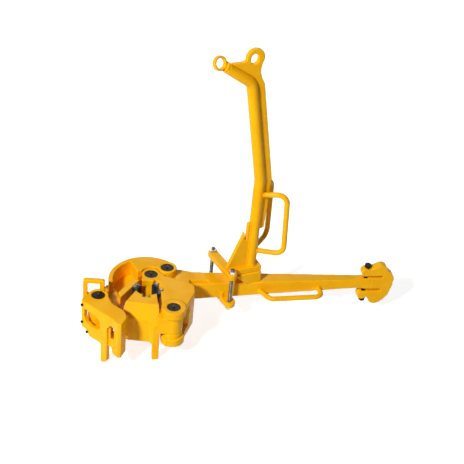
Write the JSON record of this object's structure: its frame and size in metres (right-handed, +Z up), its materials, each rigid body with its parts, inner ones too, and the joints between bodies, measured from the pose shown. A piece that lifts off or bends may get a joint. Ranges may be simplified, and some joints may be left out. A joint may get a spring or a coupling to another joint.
{
  "type": "manual pipe tongs",
  "caption": "Manual drilling tongs: hinged cast jaws with grooved dies and a latch grip an upright pipe; a long lever with a line hook turns it, and a bent hanger with an eye carries it.",
  "frame": {"origin": "on the axis of the gripped pipe, at the middle height of the jaws", "axes": "+X runs along the lever towards its hook plate, +Z runs up along the pipe and towards the hanger, +Y points from the lug jaw to the long jaw's back"},
  "size_m": [1.5531, 0.5329, 1.4459],
  "materials": {
    "yellow_enamel": "glossy yellow enamel on rough castings, a little worn on the edges",
    "black_steel": "blackened steel pins and nuts, lightly oiled",
    "bright_steel": "zinc plated bolts, nuts and grease nipples",
    "bronze": "turned bronze bushes",
    "die_steel": "dark hardened die steel with fine grooves"
  },
  "bodies": {
    "lever": {"lever": "yellow_enamel", "tail_hook": "yellow_enamel", "tail_bolt": "black_steel", "tail_nut": "black_steel", "carrying_rod": "yellow_enamel", "fulcrum_bush": "bronze", "long_jaw_bush": "bronze", "hanger_saddle": "yellow_enamel", "hanger_yoke": "yellow_enamel", "yoke_bolts": "bright_steel", "yoke_nuts": "bright_steel", "hanger_tube": "yellow_enamel", "hanger_gusset": "yellow_enamel", "hanger_rib": "yellow_enamel", "near_grip": "yellow_enamel", "far_grip": "yellow_enamel"},
    "levelling_eye": {"levelling_eye": "yellow_enamel", "eye_lock_nut": "yellow_enamel"},
    "long_jaw": {"long_jaw": "yellow_enamel", "long_jaw_pin": "black_steel", "long_jaw_pin_nut": "black_steel", "long_jaw_nipple": "bright_steel", "long_jaw_die": "die_steel", "long_jaw_die_keeper": "bright_steel", "latch_bush": "bronze"},
    "latch": {"latch": "yellow_enamel", "latch_handle": "yellow_enamel", "latch_pin": "black_steel", "latch_pin_nut": "black_steel", "latch_nipple": "bright_steel", "latch_screws": "black_steel"},
    "short_jaw": {"short_jaw": "yellow_enamel", "fulcrum_pin": "black_steel", "fulcrum_pin_nut": "black_steel", "fulcrum_nipple": "bright_steel", "lug_pin": "black_steel", "lug_pin_nut": "black_steel", "lug_pin_nipple": "bright_steel", "short_jaw_dies": "die_steel", "short_jaw_die_keepers": "bright_steel"},
    "lug_jaw": {"lug_jaw": "yellow_enamel", "lug_jaw_lip": "yellow_enamel", "lug_bush": "bronze", "lug_jaw_die": "die_steel", "lug_jaw_die_keeper": "bright_steel"}
  },
  "joints": [
    {"name": "long_jaw_swing", "type": "hinge", "parent": "lever", "child": "long_jaw", "pos_m": [0.106, 0.15, 0], "axis": [0, 0, 1], "range_deg": [-30, 0]},
    {"name": "latch_swing", "type": "hinge", "parent": "long_jaw", "child": "latch", "pos_m": [-0.23, -0.05, 0], "axis": [0, 0, 1], "range_deg": [-70, 8]},
    {"name": "short_jaw_swing", "type": "hinge", "parent": "lever", "child": "short_jaw", "pos_m": [0.025, 0.108, 0], "axis": [0, 0, 1], "range_deg": [-4, 0]},
    {"name": "lug_jaw_swing", "type": "hinge", "parent": "short_jaw", "child": "lug_jaw", "pos_m": [0.106, -0.153, 0], "axis": [0, 0, 1], "range_deg": [-6, 0]},
    {"name": "levelling_eye_turn", "type": "hinge", "parent": "lever", "child": "levelling_eye", "pos_m": [0.25965, 0.05837, 1.203], "axis": [0.7993, 0.2292, -0.5555], "range_deg": [-90, 90]}
  ]
}
